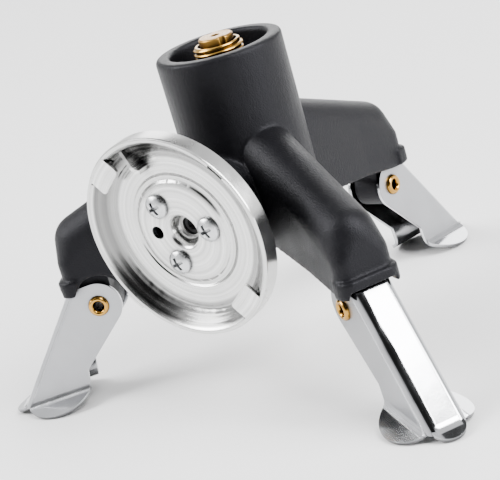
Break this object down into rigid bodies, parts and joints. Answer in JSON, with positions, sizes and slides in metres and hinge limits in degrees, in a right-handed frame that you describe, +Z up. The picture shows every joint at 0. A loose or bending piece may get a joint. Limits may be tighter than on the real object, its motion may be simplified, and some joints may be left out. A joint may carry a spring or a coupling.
{
  "type": "folding burner stand",
  "caption": "Tripod base for a screw-on camping burner, with folding sheet-metal legs and a round coupling for a collared gas cartridge on its side.",
  "frame": {"origin": "centre of the threaded stub, on the cup's axis in the plane of its rim", "axes": "+Z up along the stub; -Y out of the cartridge coupling, whose own axis dips 3.5 degrees below it; one leg towards +Y, the others 30 degrees below +X and -X"},
  "size_m": [0.1212, 0.1076, 0.075],
  "materials": {
    "nylon": "black glass-filled nylon with a fine satin grain",
    "stub_brass": "bright turned brass, threaded",
    "crown_brass": "bright turned brass",
    "block_brass": "plain turned brass",
    "nozzle_brass": "turned brass",
    "seal_rubber": "black nitrile",
    "valve_steel": "drawn spring wire",
    "filter_bronze": "sintered bronze",
    "plate_steel": "bright pressed stainless sheet with turned brush lines",
    "screw_zinc": "zinc-plated",
    "leg_steel": "polished stainless sheet, satin on the sides",
    "rivet_brass": "bright rolled brass"
  },
  "bodies": {
    "body": {"body_shell": "nylon", "outlet_stub": "stub_brass", "valve_retainer": "crown_brass", "valve_gasket": "seal_rubber", "valve_spring": "valve_steel", "stub_seal": "seal_rubber", "gas_block": "block_brass", "inlet_nozzle": "nozzle_brass", "nozzle_seal": "seal_rubber", "inlet_filter": "filter_bronze", "inlet_seal": "seal_rubber", "coupling_plate": "plate_steel", "plate_screws": "screw_zinc"},
    "leg_1": {"leg_1": "leg_steel", "rivet_1": "rivet_brass"},
    "leg_2": {"leg_2": "leg_steel", "rivet_2": "rivet_brass"},
    "leg_3": {"leg_3": "leg_steel", "rivet_3": "rivet_brass"},
    "valve": {"valve_pin": "crown_brass"}
  },
  "joints": [
    {"name": "leg_1_fold", "type": "hinge", "parent": "body", "child": "leg_1", "pos_m": [0.03611, -0.02085, -0.0504], "axis": [0.5, 0.866, 0], "range_deg": [0, 125]},
    {"name": "leg_2_fold", "type": "hinge", "parent": "body", "child": "leg_2", "pos_m": [0, 0.0417, -0.0504], "axis": [-1, 0, 0], "range_deg": [0, 125]},
    {"name": "leg_3_fold", "type": "hinge", "parent": "body", "child": "leg_3", "pos_m": [-0.03611, -0.02085, -0.0504], "axis": [0.5, -0.866, 0], "range_deg": [0, 125]},
    {"name": "valve_push", "type": "slide", "parent": "body", "child": "valve", "axis": [0, 0, 1], "range_m": [-0.0015, 0], "stiffness_N_per_m": 1500, "springref_m": 0.002, "deforming": ["valve_spring"]}
  ]
}
